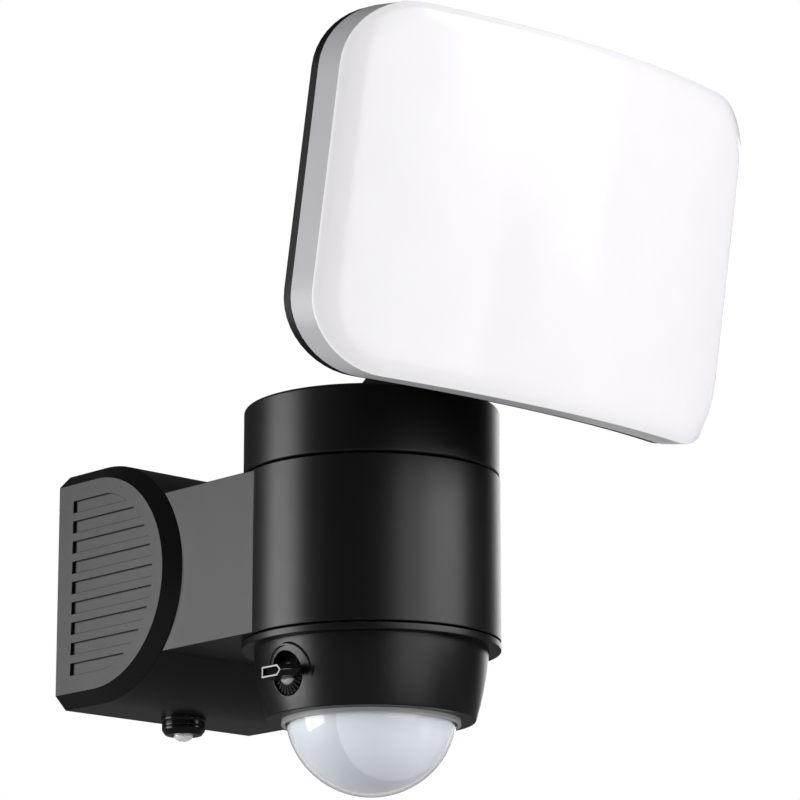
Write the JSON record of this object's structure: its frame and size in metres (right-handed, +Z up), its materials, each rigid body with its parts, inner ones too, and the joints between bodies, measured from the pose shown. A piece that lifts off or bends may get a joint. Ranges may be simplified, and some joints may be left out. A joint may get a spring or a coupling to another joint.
{
  "type": "wall-mounted floodlight with motion sensor",
  "caption": "Black wall-mounted floodlight: bowed opal lamp on a tilting neck above a round body, with a motion sensor dome below.",
  "frame": {"origin": "middle of the wall plate, on the wall", "axes": "+Z up, +Y into the wall, the lamp faces -Y"},
  "size_m": [0.19, 0.2321, 0.2455],
  "materials": {
    "zinc_steel": "zinc-plated pressed steel",
    "gasket_rubber": "moulded rubber",
    "black_housing": "fine satin moulding",
    "black_cap": "fine matte moulding",
    "black_shell": "satin moulding",
    "black_gloss": "glossy moulding",
    "screw_steel": "bright zinc plating",
    "spring_steel": "oiled spring steel",
    "brass_insert": "turned brass",
    "terminal_plastic": "moulded polyamide",
    "bearing_plastic": "acetal",
    "friction_plastic": "filled friction plastic",
    "circuit_board": "green solder mask",
    "transformer_tape": "yellow winding tape",
    "capacitor_sleeve": "shrunk sleeve",
    "opal_diffuser": "opal acrylic, unlit",
    "raw_aluminium": "rolled sheet",
    "white_board": "white solder mask",
    "led_phosphor": "phosphor under clear resin",
    "white_reflector": "white polycarbonate",
    "driver_case": "matte case",
    "clear_dome": "clear polished skin",
    "milky_dome": "milky polyethylene",
    "grey_ring": "satin grey moulding",
    "sensor_can": "drawn metal can",
    "pot_plastic": "blue moulding"
  },
  "bodies": {
    "base": {"wall_plate": "zinc_steel", "wall_gasket": "gasket_rubber", "cable_grommet": "gasket_rubber", "bracket_core": "black_housing", "side_cap_left": "black_cap", "side_cap_right": "black_cap", "body_housing": "black_housing", "arm_screws": "screw_steel", "screw_collar": "black_gloss", "collar_seal": "gasket_rubber", "thread_insert": "brass_insert", "terminal_block": "terminal_plastic", "terminal_screws": "screw_steel", "cable_clamp": "terminal_plastic", "clamp_screws": "screw_steel", "pan_bearing": "bearing_plastic", "pan_washer": "friction_plastic", "sensor_bearing": "bearing_plastic", "sensor_washer": "friction_plastic", "bearing_screws": "screw_steel", "driver_board": "circuit_board", "board_screws": "screw_steel", "transformer": "transformer_tape", "capacitor": "capacitor_sleeve"},
    "fixing_screw_body": {"fixing_screw": "screw_steel", "fixing_screw_clip": "screw_steel"},
    "head": {"cap": "black_housing", "pan_spigot": "bearing_plastic", "pan_clip": "spring_steel", "spigot_screws": "screw_steel", "neck": "black_housing", "neck_screws": "screw_steel", "tilt_bolt": "screw_steel", "tilt_nut": "screw_steel", "tilt_washers": "friction_plastic"},
    "lamp": {"diffuser": "opal_diffuser", "diffuser_gasket": "gasket_rubber", "back_shell": "black_shell", "shell_screws": "screw_steel", "heat_spreader": "raw_aluminium", "led_boards": "white_board", "led_chips": "led_phosphor", "reflector": "white_reflector", "rear_cover": "black_shell", "cover_screws": "screw_steel", "led_driver": "driver_case", "lamp_arm": "black_shell", "lamp_arm_screws": "screw_steel"},
    "sensor_head": {"sensor_housing": "black_housing", "sensor_spigot": "bearing_plastic", "sensor_clip": "spring_steel", "sensor_screws": "screw_steel", "dome_lens": "clear_dome", "dome_screen": "milky_dome", "dome_ring": "grey_ring", "sensor_board": "circuit_board", "infrared_sensors": "sensor_can", "potentiometers": "pot_plastic"},
    "left_knob": {"knob_left": "black_gloss"},
    "right_knob": {"knob_right": "black_gloss"}
  },
  "joints": [
    {"name": "head_pan", "type": "hinge", "parent": "base", "child": "head", "pos_m": [0, -0.116, 0.03], "axis": [0, 0, 1], "range_deg": [-60, 60]},
    {"name": "lamp_tilt", "type": "hinge", "parent": "head", "child": "lamp", "pos_m": [0, -0.134, 0.0763], "axis": [1, 0, 0], "range_deg": [-45, 12]},
    {"name": "sensor_turn", "type": "hinge", "parent": "base", "child": "sensor_head", "pos_m": [0, -0.116, -0.03], "axis": [0, 0, 1], "range_deg": [-90, 90]},
    {"name": "left_knob_turn", "type": "hinge", "parent": "sensor_head", "child": "left_knob", "pos_m": [-0.0391, -0.116, -0.0437], "axis": [-1, 0, 0], "range_deg": [0, 180]},
    {"name": "right_knob_turn", "type": "hinge", "parent": "sensor_head", "child": "right_knob", "pos_m": [0.0391, -0.116, -0.0437], "axis": [-1, 0, 0], "range_deg": [0, 180]},
    {"name": "fixing_screw_turn", "type": "hinge", "parent": "base", "child": "fixing_screw_body", "pos_m": [0, -0.014, -0.045], "axis": [0, 0, 1], "continuous": true}
  ]
}
